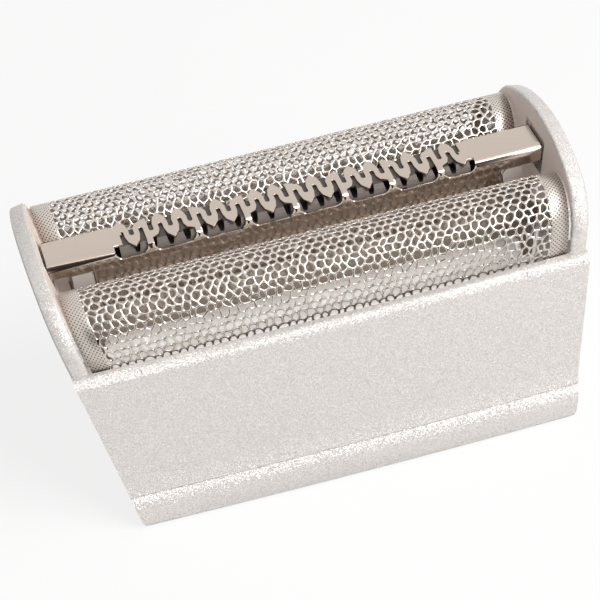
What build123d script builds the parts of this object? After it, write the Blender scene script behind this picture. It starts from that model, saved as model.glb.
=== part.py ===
"""Twin foil head of an electric shaver, in millimetres.

X runs along the foils, the front panel faces -Y, and Z = 0 is the rim that sits on the shaver.
"""
import os
from math import asin, atan2, cos, degrees, pi, radians, sin, sqrt, tan

from build123d import *

# Frame: a moulded box, open above and below, with leaning end walls
SHOULDER_LENGTH = 47.0
SHOULDER_HEIGHT = 15.4
INSIDE_DEPTH = 24.3
END_LEAN = 12.3
END_WALL = 1.55
RIM_RISE = 7.5
RIM_CORNER_RADIUS = 5.0
RIM_CROWN_RADIUS = 24.0
RIM_BEVEL = 0.2
RIM_ROOT = 0.8
PANEL_WALL = 1.25
PANEL_FLARE = 4.2
PANEL_BOW = 0.4
PANEL_TOP_ROUND = 0.9
SKIRT_WALL = 1.3
BOTTOM_CORNER = 1.0

# Bead along the foot of each panel
CREASE_HEIGHT = 3.2
BEAD_HEIGHT = 1.7
BEAD_PROUD = 0.75
BEAD_FLATS = 3
SWEEP_HEIGHT = 2.1
SWEEP_PROUD = 0.3
CREASE_DEPTH = 0.12
FOOT_BEVEL = 0.3

# Foils
FOIL_RISE = 5.4
FOIL_SKIRT = 4.6
FOIL_SHEET = 0.08
FOIL_END_GAP = 0.3
FOIL_SEAT_GAP = 0.04
FOIL_BORDER = 2.4
ARCH_FLATS = 9
HOLE_LENGTH = 3.6
HOLE_HEIGHT = 1.15
HOLE_BAR = 0.4
SADDLE_DEPTH = 1.2
SADDLE_WALL = 0.7
SADDLE_GAP = 0.1

# Strips and stakes that hold the foils' long edges
CLAMP_INSET = 4.0
CLAMP_LIFT = 0.3
CLAMP_HEIGHT = 2.2
CLAMP_WALL = 0.6
STAKE_RADIUS = 0.45
STAKE_HEAD_RADIUS = 0.8
STAKE_HEAD = 0.35
STAKE_INSET = 3.0
STAKE_SIDES = 6
STAKE_COUNT = 3
SNUG = 0.05

# Rails, shelves and stops inside the frame that guide the trimmer
RAIL_WALL = 0.8
RAIL_PLAY = 0.47
RAIL_RISE = 0.5
RAIL_DROP = 5.8
SHELF_DROP = 4.5
SHELF_WALL = 1.2
STOP_WALL = 0.7
CATCH_WIDTH = 7.0
CATCH_PROUD = 0.6
CATCH_BOTTOM = 1.6
CATCH_HEIGHT = 1.8

# Trimmer guard: a folded channel with a comb on its top
TRIMMER_RISE = 5.6
TRIMMER_INSET = 0.5
TRIMMER_WIDTH = 4.8
TRIMMER_END_GAP = 0.25
TRIMMER_SIDE_GAP = 0.25
FLOAT_TRAVEL = 1.0
GUARD_SHEET = 0.2
GUARD_BEND = 0.74
GUARD_FLATS = 2
GUARD_DEPTH = 5.6
GUARD_END_DEPTH = 1.6
GUARD_END_CUT = 4.0
SLOT_COUNT = 18
SLOT_SPACING = 1.8
SLOT_WIDTH = 0.4
SLOT_DEPTH = 2.9
SLOT_END_SIDES = 6
TOOTH_TAPER = 1.8
FLANK_FLATS = 2
BRIDGE_WIDTH = 0.56
BRIDGE_COUNT = 7
BRIDGE_STEP = 2.5
WINDOW_DEPTH = 1.05
WINDOW_CORNER = 0.45
WINDOW_END = 1.0

# Blade, its carrier and its leaf springs
BLADE_STROKE = 0.8
BLADE_SHEET = 0.25
BLADE_WIDTH = 4.0
BLADE_BEND = 0.35
BLADE_FLATS = 1
BLADE_END_GAP = 1.9
BLADE_DEPTH = 2.2
BLADE_SPACING = 1.55
BLADE_SLOT = 0.7
BLADE_SLOT_DEPTH = 0.75
BLADE_GAP = 0.03
CARRIER_INSET = 0.8
CARRIER_DROP = 3.6
DRIVER_LENGTH = 4.0
DRIVER_WIDTH = 2.4
DRIVER_DROP = 7.8
DRIVE_SLOT_WIDTH = 1.5
DRIVE_SLOT_DEPTH = 2.6
LEAF_SPAN = 6.0
LEAF_INSET = 6.0
LEAF_SHEET = 0.15
LEAF_WIDTH = 2.2

# Holder: the bar under the blade that the guard is clipped to
HOLDER_DROP = 6.0
HOLDER_FLOOR = 1.2
HOLDER_TAB_LENGTH = 2.0
HOLDER_TAB_CORNER = 0.4
HOLDER_TONGUE = 0.5
LEAF_POCKET = 0.3
LUG_LENGTH = 1.0
LUG_HEIGHT = 0.4
LUG_PLACE = 13.0

# Coil springs under the holder
COIL_INSET = 0.6
COIL_RADIUS = 1.0
COIL_WIRE = 0.3
COIL_TURNS = 3
COIL_PIECES = 7
COIL_PEG_RADIUS = 0.6
COIL_PEG_HEIGHT = 0.8
PEG_SIDES = 6

HALF_INSIDE = INSIDE_DEPTH / 2
RIM_TOP = SHOULDER_HEIGHT + RIM_RISE
FAR = SHOULDER_LENGTH
LEAN = tan(radians(END_LEAN))
HALF_GUARD = TRIMMER_WIDTH / 2
FOIL_RADIUS = (HALF_INSIDE - HALF_GUARD - RAIL_PLAY - RAIL_WALL) / 2 - FOIL_SEAT_GAP
FOIL_TOP = SHOULDER_HEIGHT + FOIL_RISE
FOIL_BOTTOM = SHOULDER_HEIGHT - FOIL_SKIRT
FOIL_CENTRE_Z = FOIL_TOP - FOIL_RADIUS
FOIL_CENTRE_Y = HALF_INSIDE - FOIL_SEAT_GAP - FOIL_RADIUS
RAIL_FACE = FOIL_CENTRE_Y - FOIL_RADIUS - FOIL_SEAT_GAP
RAIL_TOP = SHOULDER_HEIGHT + RAIL_RISE
RAIL_BOTTOM = SHOULDER_HEIGHT - RAIL_DROP
SHELF_TOP = SHOULDER_HEIGHT - SHELF_DROP
CLAMP_BOTTOM = FOIL_BOTTOM + CLAMP_LIFT
CLAMP_MIDDLE = CLAMP_BOTTOM + CLAMP_HEIGHT / 2
CLAMP_LENGTH = SHOULDER_LENGTH - 2 * CLAMP_INSET
STAKE_SPAN = CLAMP_LENGTH - 2 * STAKE_INSET
CLAMP_OFFSET = FOIL_SEAT_GAP + FOIL_SHEET + SNUG
TRIMMER_TOP = SHOULDER_HEIGHT + TRIMMER_RISE
TRIMMER_LENGTH = SHOULDER_LENGTH - 2 * TRIMMER_INSET
HALF_TRIMMER = TRIMMER_LENGTH / 2
GUARD_FLAT = HALF_GUARD - GUARD_BEND
GUARD_INSIDE = HALF_GUARD - GUARD_SHEET
TAB_START = HALF_TRIMMER - GUARD_END_CUT
TAB_END = TAB_START + HOLDER_TAB_LENGTH
HOLDER_BOTTOM = TRIMMER_TOP - HOLDER_DROP
HOLDER_TOP = HOLDER_BOTTOM + HOLDER_FLOOR
HOLDER_HALF = GUARD_INSIDE - SNUG
BLADE_TOP = TRIMMER_TOP - GUARD_SHEET - BLADE_GAP
BLADE_INSIDE = BLADE_WIDTH / 2 - BLADE_SHEET
BLADE_LENGTH = 2 * (TAB_START - BLADE_STROKE - BLADE_END_GAP)
CARRIER_LENGTH = BLADE_LENGTH - 2 * CARRIER_INSET
CARRIER_BOTTOM = TRIMMER_TOP - CARRIER_DROP
LEAF_PLACE = CARRIER_LENGTH / 2 - LEAF_INSET
DRIVER_BOTTOM = TRIMMER_TOP - DRIVER_DROP
COIL_PLACE = TAB_START - COIL_INSET


def end_x(z, inset):
    """Half length of the head at a height, moved in from the outer end face along X."""
    return SHOULDER_LENGTH / 2 + (z - SHOULDER_HEIGHT) * LEAN - inset


def box(low, high):
    """Block between two corners."""
    size = [b - a for a, b in zip(low, high)]
    middle = [(a + b) / 2 for a, b in zip(low, high)]
    return Pos(*middle) * Box(*size)


def leaning_block(inset, corner=0.0):
    """Everything between two planes that lean as the end walls do."""
    top = RIM_TOP + RIM_RISE
    low, high = end_x(0, inset), end_x(top, inset)
    face = make_face(Polyline((-low, 0), (low, 0), (high, top), (-high, top), close=True))
    if corner:
        face = fillet(face.vertices().group_by(Axis.Y)[0], corner)
    return extrude(Plane.XZ * face, FAR, both=True)


def along_x(face):
    """Run a Y-Z profile through the whole length."""
    return extrude(Plane.YZ * face, FAR, both=True)


def panel_depth(z):
    """Outer face of a panel from the middle plane, at mid length."""
    return HALF_INSIDE + PANEL_BOW + PANEL_WALL + (SHOULDER_HEIGHT - z) * tan(radians(PANEL_FLARE))


def bowed(face):
    """Turn a Y-Z profile about a far upright axis, which gives a panel its slight bow in plan."""
    half = SHOULDER_LENGTH / 2
    radius = (half * half + PANEL_BOW * PANEL_BOW) / (2 * PANEL_BOW)
    axis = Axis((0, HALF_INSIDE + PANEL_BOW + PANEL_WALL - radius, 0), (0, 0, 1))
    reach = degrees(asin(SHOULDER_LENGTH / radius)) * 0.6
    return revolve((Plane.YZ * face).rotate(axis, -reach), axis, 2 * reach)


def panel_profile():
    """Section of the rear panel: rounded top, flared face, concave sweep, crease, bead and foot."""
    inner = HALF_INSIDE - RIM_BEVEL
    top = (panel_depth(SHOULDER_HEIGHT), SHOULDER_HEIGHT)
    sweep_z = CREASE_HEIGHT + SWEEP_HEIGHT
    sweep = (panel_depth(sweep_z), sweep_z)
    crease = (panel_depth(CREASE_HEIGHT) + SWEEP_PROUD, CREASE_HEIGHT)
    groove = (crease[0] - CREASE_DEPTH, CREASE_HEIGHT - CREASE_DEPTH)
    bead = (panel_depth(BEAD_HEIGHT) + BEAD_PROUD, BEAD_HEIGHT)
    steps = curve(groove[1] - bead[1], bead[0] - groove[0], BEAD_FLATS)
    ridge = [(bead[0] - inward, bead[1] + up) for up, inward in steps]
    foot = (bead[0], 0)
    down = (sweep[0] - top[0], sweep[1] - top[1])
    lines = [
        Line((inner, 0), (inner, SHOULDER_HEIGHT)),
        Line((inner, SHOULDER_HEIGHT), top),
        Line(top, sweep),
        TangentArc(sweep, crease, tangent=down),
        Line(crease, groove),
        Polyline(*ridge),
        Line(bead, foot),
        Line(foot, (inner, 0)),
    ]
    face = make_face(lines)
    face = fillet(nearest(face, top), min(PANEL_TOP_ROUND, 0.8 * PANEL_WALL))
    return chamfer(nearest(face, foot), FOOT_BEVEL)


def curve(along, across, flats):
    """Steps along and across of a curve in flats, which starts straight along and turns across."""
    turn = 2 * atan2(across, along)
    radius = along / sin(turn)
    turns = [turn * i / flats for i in range(flats + 1)]
    return [(radius * sin(t), radius * (1 - cos(t))) for t in turns]


def nearest(face, corner):
    """Vertex of a flat face at a corner."""
    return face.vertices().sort_by_distance((corner[0], corner[1], 0))[0]


def rim_profile():
    """Outline of an end wall in its own plane, up from the shoulder: sides, corner arcs and crown."""
    lean = radians(END_LEAN)
    top = (RIM_RISE - END_WALL / 2 * sin(lean)) / cos(lean)
    reach = RIM_CROWN_RADIUS - RIM_CORNER_RADIUS
    across = HALF_INSIDE - RIM_CORNER_RADIUS
    crown = top - RIM_CROWN_RADIUS
    corner = crown + sqrt(reach * reach - across * across)
    tangent = (across * RIM_CROWN_RADIUS / reach, crown + (corner - crown) * RIM_CROWN_RADIUS / reach)
    left = (-tangent[0], tangent[1])
    lines = [
        Line((-HALF_INSIDE, -RIM_ROOT), (HALF_INSIDE, -RIM_ROOT)),
        Line((HALF_INSIDE, -RIM_ROOT), (HALF_INSIDE, corner)),
        TangentArc((HALF_INSIDE, corner), tangent, tangent=(0, 1)),
        ThreePointArc(tangent, (0, top), left),
        TangentArc((-HALF_INSIDE, corner), left, tangent=(0, 1)),
        Line((-HALF_INSIDE, corner), (-HALF_INSIDE, -RIM_ROOT)),
    ]
    return make_face(lines)


def end_walls():
    """The two arched walls that stand above the panels, square to their lean, with bevelled rims."""
    lean = radians(END_LEAN)
    wall = extrude(rim_profile(), -END_WALL * cos(lean))
    sides = wall.faces().sort_by(Axis.Z)
    rim = [e for side in (sides[0], sides[-1]) for e in side.edges() if e.center().Y > SNUG - RIM_ROOT]
    outside = Plane((end_x(SHOULDER_HEIGHT, 0), 0, SHOULDER_HEIGHT), (0, 1, 0), (cos(lean), 0, -sin(lean)))
    right = outside * chamfer(rim, RIM_BEVEL)
    return right + mirror(right, Plane.YZ)


def cavity():
    """Space inside the panels: narrow at the foils, wider at the foot, open above and below."""
    foot = panel_depth(CREASE_HEIGHT) - PANEL_BOW - SKIRT_WALL
    seat = FOIL_BOTTOM - STAKE_HEAD_RADIUS
    points = [(foot, -1), (foot, CREASE_HEIGHT), (HALF_INSIDE, seat), (HALF_INSIDE, RIM_TOP)]
    mirrored = [(-y, z) for y, z in reversed(points)]
    prism = along_x(make_face(Polyline(*points, *mirrored, close=True)))
    lip = CLAMP_BOTTOM + CLAMP_HEIGHT + SNUG
    relief = make_face(Polyline(
        (HALF_INSIDE - PANEL_WALL, lip), (HALF_INSIDE, lip), (HALF_INSIDE + PANEL_BOW, lip + PANEL_BOW),
        (HALF_INSIDE + PANEL_BOW, RIM_TOP), (HALF_INSIDE - PANEL_WALL, RIM_TOP), close=True))
    rear = bowed(relief)
    open_below = box((-end_x(0, END_WALL), -HALF_INSIDE, -1), (end_x(0, END_WALL), HALF_INSIDE, SNUG))
    return (prism + rear + mirror(rear, Plane.XZ)) & (leaning_block(END_WALL) + open_below)


def stakes():
    """Pegs with flattened heads that pin the foils' edges, on the panels and on the rails."""
    length = CLAMP_OFFSET + CLAMP_WALL + SNUG
    root = Pos(0, 0, -SNUG) * extrude(RegularPolygon(STAKE_RADIUS, STAKE_SIDES), length + 2 * SNUG)
    head = Pos(0, 0, length) * extrude(RegularPolygon(STAKE_HEAD_RADIUS, STAKE_SIDES), STAKE_HEAD)
    pegs = Part()
    for x in stake_places():
        for wall, inward in [(HALF_INSIDE, -1), (RAIL_FACE, 1)]:
            pegs += Plane((x, wall, CLAMP_MIDDLE), (1, 0, 0), (0, inward, 0)) * (root + head)
    return pegs + mirror(pegs, Plane.XZ)


def stake_places():
    """Places of the stakes along X."""
    step = STAKE_SPAN / (STAKE_COUNT - 1)
    return [-STAKE_SPAN / 2 + step * i for i in range(STAKE_COUNT)]


def saddles():
    """Arched ribs on the end walls that keep the round form of the foils' ends."""
    outer = FOIL_RADIUS - FOIL_SHEET - SADDLE_GAP
    rear = along_x(Pos(FOIL_CENTRE_Y, FOIL_CENTRE_Z) * (arch(outer) - arch(outer - SADDLE_WALL)))
    ends = leaning_block(END_WALL / 2) - leaning_block(END_WALL + SADDLE_DEPTH)
    return (rear + mirror(rear, Plane.XZ)) & ends


def arch(radius):
    """Half disc in narrow flats, one for each row of holes."""
    turns = [pi * i / ARCH_FLATS for i in range(ARCH_FLATS + 1)]
    corners = [(radius * cos(turn), radius * sin(turn)) for turn in turns]
    return make_face(Polyline(*corners, close=True))


def rails():
    """Two long ribs between the end walls, with the spring shelves and the trimmer's stops."""
    rear = box((-FAR, RAIL_FACE - RAIL_WALL, RAIL_BOTTOM), (FAR, RAIL_FACE, RAIL_TOP))
    inside = leaning_block(END_WALL / 2)
    shelf_start = COIL_PLACE - COIL_RADIUS - COIL_WIRE
    shelf_side = RAIL_FACE - SNUG
    shelf = box((shelf_start, -shelf_side, SHELF_TOP - SHELF_WALL), (FAR, shelf_side, SHELF_TOP))
    peg = Pos(COIL_PLACE, 0, SHELF_TOP - SNUG) * coil_peg()
    stop_start = TAB_END + SNUG + STOP_WALL / 4
    stop_low = HOLDER_TOP + SNUG
    stop = box((stop_start, -HOLDER_HALF, stop_low), (FAR, HOLDER_HALF, stop_low + STOP_WALL))
    right = shelf + peg + stop
    return (rear + mirror(rear, Plane.XZ) + right + mirror(right, Plane.YZ)) & inside


def coil_peg():
    """Peg that centres the end of a coil spring, up from Z = 0."""
    return extrude(RegularPolygon(COIL_PEG_RADIUS, PEG_SIDES), COIL_PEG_HEIGHT)


def catches():
    """Wedges low on the inner faces of the end walls that the shaver's latches hold."""
    top = CATCH_BOTTOM + CATCH_HEIGHT
    inner = end_x(CATCH_BOTTOM, END_WALL)
    outer = inner + END_WALL / 2
    corners = [(inner - CATCH_PROUD, top), (outer, top), (outer, CATCH_BOTTOM), (inner, CATCH_BOTTOM)]
    wedge = make_face(Polyline(*corners, close=True))
    right = extrude(Plane.XZ * wedge, CATCH_WIDTH / 2, both=True)
    return (right + mirror(right, Plane.YZ)) & leaning_block(END_WALL / 2)


def trimmer_grooves():
    """Upright pockets in the end walls that the ends of the trimmer float in."""
    floor = TRIMMER_TOP - GUARD_END_DEPTH - FLOAT_TRAVEL - TRIMMER_END_GAP
    back = HALF_TRIMMER + TRIMMER_END_GAP
    side = HALF_GUARD + TRIMMER_SIDE_GAP
    return box((-back, -side, floor), (back, side, RIM_TOP))


def frame():
    """The whole moulding: panels, end walls, rails, saddles, catches and stakes."""
    rear = bowed(panel_profile())
    core = box((-FAR, -HALF_INSIDE, 0), (FAR, HALF_INSIDE, SHOULDER_HEIGHT))
    shell = (rear + mirror(rear, Plane.XZ) + core) & leaning_block(0, BOTTOM_CORNER)
    shell = shell + end_walls() - cavity() - trimmer_grooves()
    return shell + rails() + saddles() + catches() + stakes()


def hole_pattern():
    """Staggered oblong holes over the arch of the rear foil, one row on each flat."""
    reach = end_x(FOIL_CENTRE_Z, END_WALL + FOIL_END_GAP + FOIL_BORDER)
    spacing = HOLE_LENGTH + HOLE_BAR
    columns = int((2 * reach - spacing / 2) / spacing)
    step = pi / ARCH_FLATS
    flat = FOIL_RADIUS * cos(step / 2)
    cell = extrude(Rectangle(HOLE_LENGTH, HOLE_HEIGHT), FOIL_RADIUS / 4, both=True)
    holes = []
    for row in range(ARCH_FLATS):
        turn = (row - (ARCH_FLATS - 1) / 2) * step
        normal = (0, sin(turn), cos(turn))
        stagger = (row % 2 - 0.5) / 2
        for column in range(columns):
            x = (column - (columns - 1) / 2 + stagger) * spacing
            spot = (x, FOIL_CENTRE_Y + flat * normal[1], FOIL_CENTRE_Z + flat * normal[2])
            holes.append(Plane(spot, (1, 0, 0), normal) * cell)
    return holes


def foil():
    """Rear foil: an arched sheet with straight skirts, holes and stake holes."""
    drop = FOIL_CENTRE_Z - FOIL_BOTTOM
    outer = arch(FOIL_RADIUS) + Pos(0, -drop / 2) * Rectangle(2 * FOIL_RADIUS, drop)
    bore = FOIL_RADIUS - FOIL_SHEET
    inner = arch(bore) + Pos(0, -drop) * Rectangle(2 * bore, 2 * drop)
    profile = Pos(FOIL_CENTRE_Y, FOIL_CENTRE_Z) * (outer - inner)
    sheet = along_x(profile) & leaning_block(END_WALL + FOIL_END_GAP)
    pins = stake_holes(RAIL_FACE, HALF_INSIDE)
    return sheet.cut(*hole_pattern(), *pins)


def stake_holes(low, high):
    """Cutters along Y with room for the stakes."""
    hole = extrude(RegularPolygon(STAKE_RADIUS + SNUG, STAKE_SIDES), high - low)
    return [Plane((x, low, CLAMP_MIDDLE), (1, 0, 0), (0, 1, 0)) * hole for x in stake_places()]


def clamp(wall, inward):
    """Strip behind a rear foil edge, standing off its wall by the foil, with stake holes."""
    near = wall + inward * CLAMP_OFFSET
    far = near + inward * CLAMP_WALL
    low, high = sorted((near, far))
    face = chamfer(Rectangle(CLAMP_LENGTH, CLAMP_HEIGHT).vertices(), CLAMP_HEIGHT / 4)
    strip = extrude(Plane((0, high, CLAMP_MIDDLE), x_dir=(1, 0, 0), z_dir=(0, -1, 0)) * face, CLAMP_WALL)
    return strip.cut(*stake_holes(low - SNUG, high + SNUG))


def channel(width, sheet, bend, flats, top, depth, length):
    """Inverted U of folded sheet, along X."""
    outer = fold_outline(width, bend, flats, top, depth)
    inner = fold_outline(width - 2 * sheet, bend - sheet, flats, top - sheet, depth + sheet)
    return extrude(Plane.YZ * (outer - inner), length / 2, both=True)


def fold_outline(width, bend, flats, top, depth):
    """Section of a channel's outside; its top corners are folded in flats that follow a bend."""
    turns = [pi / 2 * i / flats for i in range(flats + 1)]
    right = [(width / 2 - bend * (1 - cos(turn)), top - bend * (1 - sin(turn))) for turn in turns]
    left = [(-y, z) for y, z in reversed(right)]
    foot = top - depth
    return make_face(Polyline((width / 2, foot), *right, *left, (-width / 2, foot), close=True))


def slot_x(i):
    """Middle of front slot i; a tooth j lies at j + 0.5."""
    return (i - (SLOT_COUNT - 1) / 2) * SLOT_SPACING - SLOT_SPACING / 4


def bridge_places():
    """Slot numbers of the bridges that carry every second or third tooth down to the side wall."""
    return [BRIDGE_STEP / 2 + BRIDGE_STEP * i for i in range(BRIDGE_COUNT)]


def tooth_half():
    return (SLOT_SPACING - SLOT_WIDTH) / 2


def pointed_tooth(x):
    """Free tooth: two flanks that meet in a point over the fold."""
    half = tooth_half()
    base = -(HALF_GUARD - TOOTH_TAPER)
    steps = curve(TOOTH_TAPER, half, FLANK_FLATS)
    left = [(x - half + across, base - down) for down, across in steps]
    right = [(x + half - across, base - down) for down, across in reversed(steps[:-1])]
    return make_face(Polyline(*left, *right, close=True))


def bridged_tooth(x, side):
    """Tooth whose one side runs on into a bridge; its other flank curves round to the bridge."""
    half = tooth_half()
    base = -(HALF_GUARD - TOOTH_TAPER)
    steps = curve(base + GUARD_FLAT, 2 * half - BRIDGE_WIDTH, FLANK_FLATS)
    swept = [(x - side * (half - across), base - down) for down, across in steps]
    straight = [(x + side * half, -GUARD_FLAT), (x + side * half, base)]
    return make_face(Polyline(*swept, *straight, close=True))


def front_comb():
    """Front half of the comb's outline: teeth between the slots, pointed or bridged."""
    zone_low = slot_x(0) - SLOT_WIDTH / 2
    zone_high = slot_x(SLOT_COUNT) - SLOT_WIDTH / 2
    base = HALF_GUARD - TOOTH_TAPER
    comb = Pos((zone_low + zone_high) / 2, -base / 2) * Rectangle(zone_high - zone_low, base)
    bridged = {int(place): place - int(place) - 0.5 for place in bridge_places()}
    teeth = []
    for j in range(SLOT_COUNT):
        x = slot_x(j + 0.5)
        if j in bridged:
            teeth.append(bridged_tooth(x, 1 if bridged[j] > 0 else -1))
        else:
            teeth.append(pointed_tooth(x))
    return comb + teeth


def front_slots():
    """Straight slots with blunt inner ends, open to the front."""
    end = SLOT_DEPTH - HALF_GUARD - SLOT_WIDTH / 2
    length = HALF_GUARD + end
    slots = []
    for i in range(SLOT_COUNT):
        bar = Pos(slot_x(i), end - length / 2) * Rectangle(SLOT_WIDTH, length)
        slots.append(bar + Pos(slot_x(i), end) * RegularPolygon(SLOT_WIDTH / 2, SLOT_END_SIDES))
    return slots


def comb_plate():
    """Serpentine top of the guard: both rows of teeth on one flat sheet."""
    front = front_comb()
    slots = front_slots()
    turned = Rot(0, 0, 180)
    outline = front + turned * front
    outline = outline - slots - [turned * slot for slot in slots]
    return Pos(0, 0, TRIMMER_TOP - GUARD_SHEET) * extrude(outline, GUARD_SHEET)


def front_windows():
    """Openings in the front fold and wall, between the bridges."""
    half = tooth_half()
    starts = [slot_x(0) - SLOT_WIDTH / 2 - 2 * half + BRIDGE_WIDTH]
    ends = []
    for place in bridge_places():
        tooth = slot_x(int(place) + 0.5)
        side = 1 if place - int(place) > 0.5 else -1
        edge = tooth + side * half
        ends.append(min(edge, edge - side * BRIDGE_WIDTH))
        starts.append(max(edge, edge - side * BRIDGE_WIDTH))
    ends.append(slot_x(SLOT_COUNT - 0.5) + WINDOW_END)
    windows = []
    for start, end in zip(starts, ends):
        height = WINDOW_DEPTH + GUARD_SHEET
        middle = TRIMMER_TOP - WINDOW_DEPTH + height / 2
        face = Pos((start + end) / 2, middle) * Rectangle(end - start, height)
        face = chamfer(face.vertices().group_by(Axis.Y)[0], WINDOW_CORNER)
        plane = Plane((0, -GUARD_FLAT, 0), x_dir=(1, 0, 0), z_dir=(0, -1, 0))
        windows.append(extrude(plane * face, 2 * GUARD_BEND))
    return windows


def lug_spots(half_width, z):
    """Places and outward directions of the lugs that lock a channel to the plastic inside it."""
    spots = []
    for x in (-LUG_PLACE, LUG_PLACE):
        for side in (-1, 1):
            spots.append(Plane((x, side * half_width, z), (1, 0, 0), (0, side, 0)))
    return spots


def lugs(half_width, z, height):
    """Flat lugs that stand out of a plastic bar."""
    lug = Pos(0, 0, -SNUG) * extrude(Rectangle(LUG_LENGTH, LUG_HEIGHT), height + SNUG)
    return [spot * lug for spot in lug_spots(half_width, z)]


def lug_holes(half_width, z):
    """Holes in a channel's walls for the lugs."""
    outline = Rectangle(LUG_LENGTH + 2 * SNUG, LUG_HEIGHT + 2 * SNUG)
    hole = extrude(outline, GUARD_SHEET + 2 * SNUG, both=True)
    return [spot * hole for spot in lug_spots(half_width, z)]


def holder_lug_z():
    return HOLDER_TOP - LUG_HEIGHT


def blade_lug_z():
    return BLADE_TOP - BLADE_DEPTH + 2 * LUG_HEIGHT


def trimmer_guard():
    """Folded channel, cut short at its ends, with the comb on top and windows in both walls."""
    section = (TRIMMER_WIDTH, GUARD_SHEET, GUARD_BEND, GUARD_FLATS, TRIMMER_TOP, GUARD_DEPTH)
    body = channel(*section, TRIMMER_LENGTH)
    low = TRIMMER_TOP - GUARD_DEPTH - SNUG
    end_cut = box((TAB_START, -TRIMMER_WIDTH, low), (FAR, TRIMMER_WIDTH, TRIMMER_TOP - GUARD_END_DEPTH))
    zone = slot_x(SLOT_COUNT) - SLOT_WIDTH / 2
    near = slot_x(0) - SLOT_WIDTH / 2
    under = TRIMMER_TOP - 2 * GUARD_SHEET
    top_cut = box((near, -GUARD_FLAT, under), (-near, GUARD_FLAT, TRIMMER_TOP + SNUG))
    windows = front_windows()
    turned = [Rot(0, 0, 180) * window for window in windows]
    body = body - [end_cut, mirror(end_cut, Plane.YZ), top_cut]
    body = body.cut(*windows, *turned, *lug_holes(HALF_GUARD, holder_lug_z()))
    filler = front_end_filler(zone, -near)
    return body + comb_plate() + filler + Rot(0, 0, 180) * filler


def front_end_filler(start, end):
    """Flat stretch between the last front tooth and the plain end of the guard."""
    low = TRIMMER_TOP - GUARD_SHEET
    return box((start - tooth_half(), -GUARD_FLAT, low), (end, 0, TRIMMER_TOP))


def trimmer_blade():
    """Inner channel with teeth across its top, a running gap under the guard."""
    body = channel(BLADE_WIDTH, BLADE_SHEET, BLADE_BEND, BLADE_FLATS, BLADE_TOP, BLADE_DEPTH, BLADE_LENGTH)
    count = int((BLADE_LENGTH - BLADE_SLOT) / BLADE_SPACING)
    low = BLADE_TOP - BLADE_SLOT_DEPTH
    face = make_face(Polyline(
        (-BLADE_SLOT / 4, low), (BLADE_SLOT / 4, low), (BLADE_SLOT / 2, BLADE_TOP + SNUG),
        (-BLADE_SLOT / 2, BLADE_TOP + SNUG), close=True))
    gap = extrude(Plane.XZ * face, BLADE_WIDTH, both=True)
    spine = box((-FAR, -BLADE_INSIDE / 2, low), (FAR, BLADE_INSIDE / 2, BLADE_TOP + SNUG))
    gaps = [Pos((i - (count - 1) / 2) * BLADE_SPACING, 0, 0) * gap - spine for i in range(count)]
    return body.cut(*gaps, *lug_holes(BLADE_WIDTH / 2, blade_lug_z()))


def blade_carrier():
    """Plastic slider inside the blade, with a driver post and its drive slot below."""
    half = BLADE_INSIDE - SNUG
    top = BLADE_TOP - BLADE_SLOT_DEPTH - SNUG
    bar = box((-CARRIER_LENGTH / 2, -half, CARRIER_BOTTOM), (CARRIER_LENGTH / 2, half, top))
    post = box((-DRIVER_LENGTH / 2, -DRIVER_WIDTH / 2, DRIVER_BOTTOM),
               (DRIVER_LENGTH / 2, DRIVER_WIDTH / 2, CARRIER_BOTTOM + SNUG))
    slot = box((-DRIVE_SLOT_WIDTH / 2, -DRIVER_WIDTH, DRIVER_BOTTOM - SNUG),
               (DRIVE_SLOT_WIDTH / 2, DRIVER_WIDTH, DRIVER_BOTTOM + DRIVE_SLOT_DEPTH))
    bar = bar + lugs(half, blade_lug_z(), SNUG + BLADE_SHEET)
    return bar + (post - slot)


def blade_spring(x):
    """Bowed leaf that stands in its pocket and presses on the carrier."""
    foot = HOLDER_TOP - LEAF_POCKET
    rise = CARRIER_BOTTOM - BLADE_GAP - foot
    half = LEAF_SPAN / 2
    radius = (half * half + rise * rise) / (2 * rise)
    ring = Circle(radius) - Circle(radius - LEAF_SHEET)
    bow = ring & (Pos(0, radius - rise / 2) * Rectangle(2 * LEAF_SPAN, rise))
    face = Pos(x, foot + rise - radius) * bow
    return extrude(Plane.XZ * face, LEAF_WIDTH / 2, both=True)


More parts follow.
